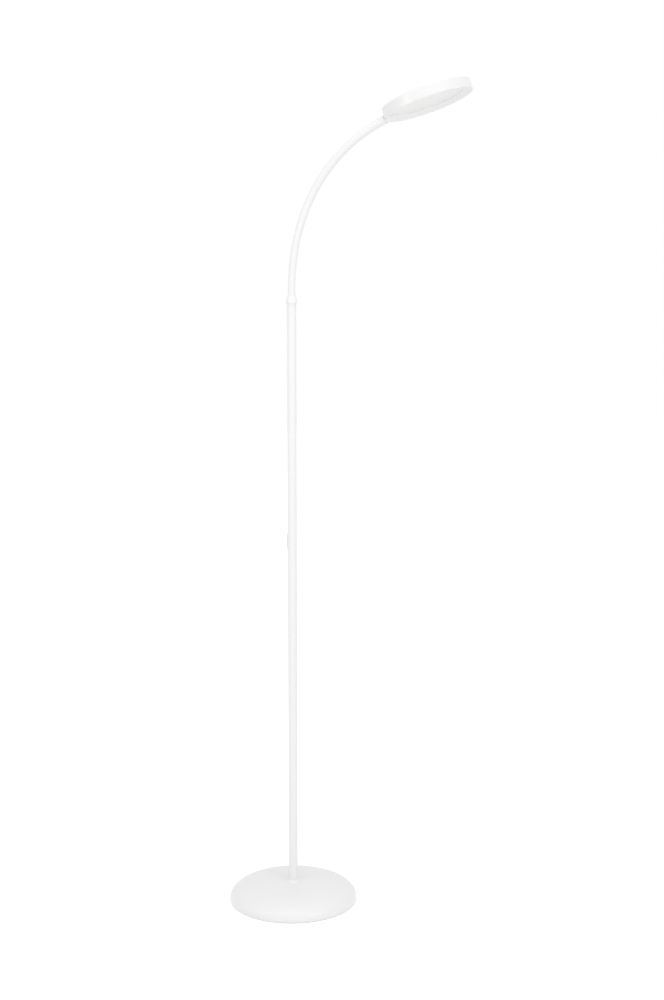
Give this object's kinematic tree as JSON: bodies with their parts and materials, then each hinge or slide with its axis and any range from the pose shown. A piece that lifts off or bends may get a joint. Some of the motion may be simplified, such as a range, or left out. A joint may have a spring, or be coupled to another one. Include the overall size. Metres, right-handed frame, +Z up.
{
  "type": "gooseneck reading floor lamp",
  "caption": "White LED reading floor lamp: low domed base, slim two-part pole with a push switch, arched flexible neck, and a shallow round tilted head with an opal diffuser.",
  "frame": {"origin": "centre of the foot pad's underside, on the pole's axis", "axes": "+Z up along the pole, +X the way the neck arches towards the head, -X the switch and the inlet"},
  "size_m": [0.4197, 0.2268, 1.4266],
  "materials": {
    "white_paint": "satin",
    "neck_sleeve": "satin",
    "white_aluminium": "satin",
    "bare_aluminium": "satin",
    "ballast_iron": "matte",
    "zinc_steel": "satin",
    "contact_brass": "polished",
    "foot_foam": "matte",
    "black_plastic": "matte",
    "cable_sheath": "matte",
    "white_plastic": "satin",
    "button_plastic": "satin",
    "lens_plastic": "gloss",
    "green_board": "satin",
    "white_board": "satin",
    "led_resin": "gloss",
    "opal_acrylic": "satin",
    "reflector_white": "gloss"
  },
  "bodies": {
    "stand": {"base_cover": "white_paint", "base_ballast": "ballast_iron", "base_plate": "zinc_steel", "base_screws": "zinc_steel", "foot_pad": "foot_foam", "power_inlet": "black_plastic", "inlet_pin": "contact_brass", "supply_cable": "cable_sheath", "stem_flange": "white_paint", "stem_nipple": "zinc_steel", "stem_washer": "zinc_steel", "stem_nut": "zinc_steel", "pole_foot_insert": "zinc_steel", "pole_tube_lower": "white_paint", "pole_joint_stud": "zinc_steel", "pole_joint_socket": "zinc_steel", "pole_tube_upper": "white_paint", "lamp_cable": "cable_sheath", "switch_carrier": "white_plastic", "tact_switch": "black_plastic", "switch_board": "green_board", "indicator_lens": "lens_plastic", "neck_collar": "white_aluminium", "neck_root": "neck_sleeve"},
    "button": {"switch_button": "button_plastic", "switch_plunger": "black_plastic"},
    "neck_01": {"neck_link_01": "neck_sleeve"},
    "neck_02": {"neck_link_02": "neck_sleeve"},
    "neck_03": {"neck_link_03": "neck_sleeve"},
    "neck_04": {"neck_link_04": "neck_sleeve"},
    "neck_05": {"neck_link_05": "neck_sleeve"},
    "neck_06": {"neck_link_06": "neck_sleeve"},
    "neck_07": {"neck_link_07": "neck_sleeve"},
    "neck_08": {"neck_link_08": "neck_sleeve"},
    "neck_09": {"neck_link_09": "neck_sleeve"},
    "neck_10": {"neck_link_10": "neck_sleeve"},
    "neck_11": {"neck_link_11": "neck_sleeve"},
    "head": {"neck_tip": "neck_sleeve", "neck_clamp": "white_aluminium", "clamp_grub_screw": "zinc_steel", "clamp_screws": "zinc_steel", "head_shell": "white_aluminium", "heat_plate": "bare_aluminium", "led_board": "white_board", "led_chips": "led_resin", "board_screws": "zinc_steel", "reflector_ring": "reflector_white", "diffuser": "opal_acrylic", "bezel_ring": "white_plastic", "head_lead": "cable_sheath"}
  },
  "joints": [
    {"name": "button_press", "type": "slide", "parent": "stand", "child": "button", "axis": [1, 0, 0], "range_m": [0, 0.0008], "stiffness_N_per_m": 1500, "springref_m": -0.0004},
    {"name": "lower_bend", "type": "hinge", "parent": "stand", "child": "neck_01", "pos_m": [0, 0, 1.087], "axis": [0, 1, 0], "range_deg": [-15, 15]},
    {"name": "lower_sway", "type": "hinge", "parent": "neck_01", "child": "neck_02", "pos_m": [0.00141, 0, 1.11569], "axis": [-0.9965, 0, 0.0832], "range_deg": [-15, 15]},
    {"name": "lower_bend_2", "type": "hinge", "parent": "neck_02", "child": "neck_03", "pos_m": [0.00478, 0, 1.14422], "axis": [0, 1, 0], "range_deg": [-15, 15]},
    {"name": "lower_sway_2", "type": "hinge", "parent": "neck_03", "child": "neck_04", "pos_m": [0.01037, 0, 1.1724], "axis": [-0.9717, 0, 0.236], "range_deg": [-15, 15]},
    {"name": "lower_bend_3", "type": "hinge", "parent": "neck_04", "child": "neck_05", "pos_m": [0.01833, 0, 1.2], "axis": [0, 1, 0], "range_deg": [-15, 15]},
    {"name": "lower_sway_3", "type": "hinge", "parent": "neck_05", "child": "neck_06", "pos_m": [0.02875, 0, 1.22677], "axis": [-0.9134, 0, 0.407], "range_deg": [-15, 15]},
    {"name": "upper_bend", "type": "hinge", "parent": "neck_06", "child": "neck_07", "pos_m": [0.04168, 0, 1.25242], "axis": [0, 1, 0], "range_deg": [-15, 15]},
    {"name": "upper_sway", "type": "hinge", "parent": "neck_07", "child": "neck_08", "pos_m": [0.05709, 0, 1.27667], "axis": [-0.8152, 0, 0.5792], "range_deg": [-15, 15]},
    {"name": "upper_bend_2", "type": "hinge", "parent": "neck_08", "child": "neck_09", "pos_m": [0.07491, 0, 1.2992], "axis": [0, 1, 0], "range_deg": [-15, 15]},
    {"name": "upper_sway_2", "type": "hinge", "parent": "neck_09", "child": "neck_10", "pos_m": [0.09503, 0, 1.31971], "axis": [-0.6747, 0, 0.7381], "range_deg": [-15, 15]},
    {"name": "upper_bend_3", "type": "hinge", "parent": "neck_10", "child": "neck_11", "pos_m": [0.11726, 0, 1.33791], "axis": [0, 1, 0], "range_deg": [-15, 15]},
    {"name": "upper_sway_3", "type": "hinge", "parent": "neck_11", "child": "head", "pos_m": [0.14138, 0, 1.3535], "axis": [-0.5014, 0, 0.8652], "range_deg": [-15, 15]}
  ],
  "couplings": [
    {"joint": "lower_bend_2", "follows": "lower_bend", "ratio": 1},
    {"joint": "lower_sway_2", "follows": "lower_sway", "ratio": 1},
    {"joint": "lower_bend_3", "follows": "lower_bend", "ratio": 1},
    {"joint": "lower_sway_3", "follows": "lower_sway", "ratio": 1},
    {"joint": "upper_bend_2", "follows": "upper_bend", "ratio": 1},
    {"joint": "upper_sway_2", "follows": "upper_sway", "ratio": 1},
    {"joint": "upper_bend_3", "follows": "upper_bend", "ratio": 1},
    {"joint": "upper_sway_3", "follows": "upper_sway", "ratio": 1}
  ]
}
